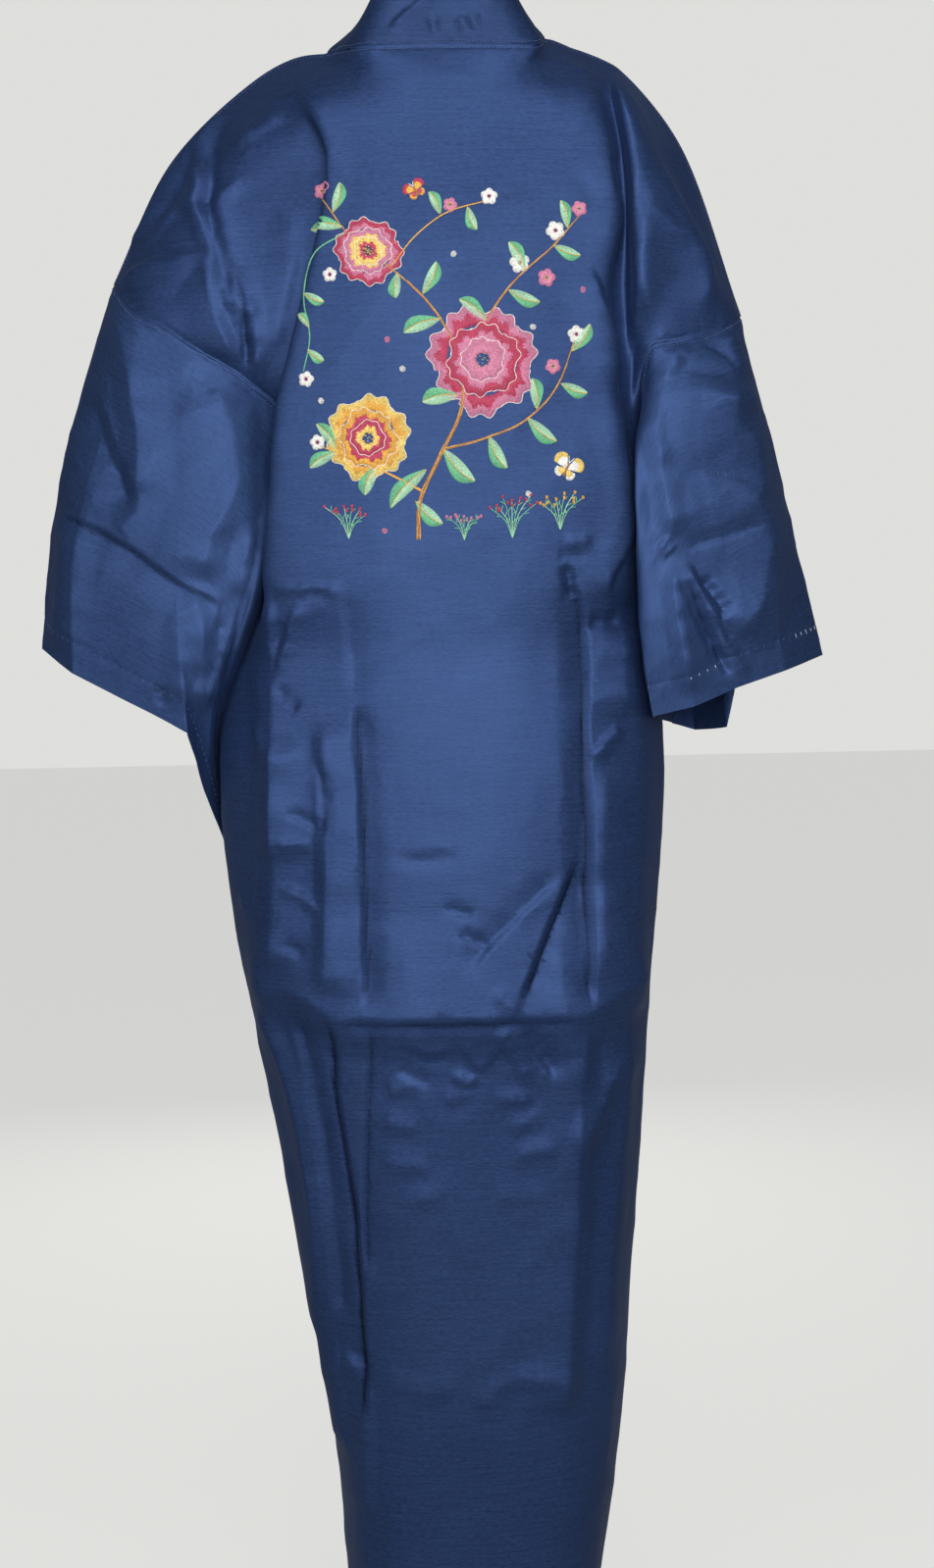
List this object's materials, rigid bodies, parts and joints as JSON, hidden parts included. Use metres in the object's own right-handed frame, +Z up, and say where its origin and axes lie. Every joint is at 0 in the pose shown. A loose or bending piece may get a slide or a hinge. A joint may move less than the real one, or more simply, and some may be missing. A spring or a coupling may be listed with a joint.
{
  "type": "kimono robe",
  "caption": "Long navy kimono robe worn with the left front lapped over the right, wide hanging sleeves, a long collar band and an embroidered flower design on the back.",
  "frame": {"origin": "middle of the neck opening, at the height of the seam between the back and the collar band", "axes": "+Z up, +X towards the wearer's left, and the wearer's back faces +Y"},
  "size_m": [0.684, 0.2272, 1.433],
  "materials": {
    "back_cloth": "satin",
    "front_left_cloth": "satin",
    "front_right_cloth": "satin",
    "sleeve_left_cloth": "satin",
    "sleeve_right_cloth": "satin",
    "collar_cloth": "satin"
  },
  "bodies": {
    "root": {"back_panel": "back_cloth", "front_left": "front_left_cloth", "front_right": "front_right_cloth", "sleeve_left": "sleeve_left_cloth", "sleeve_right": "sleeve_right_cloth", "collar_band": "collar_cloth"}
  },
  "joints": []
}
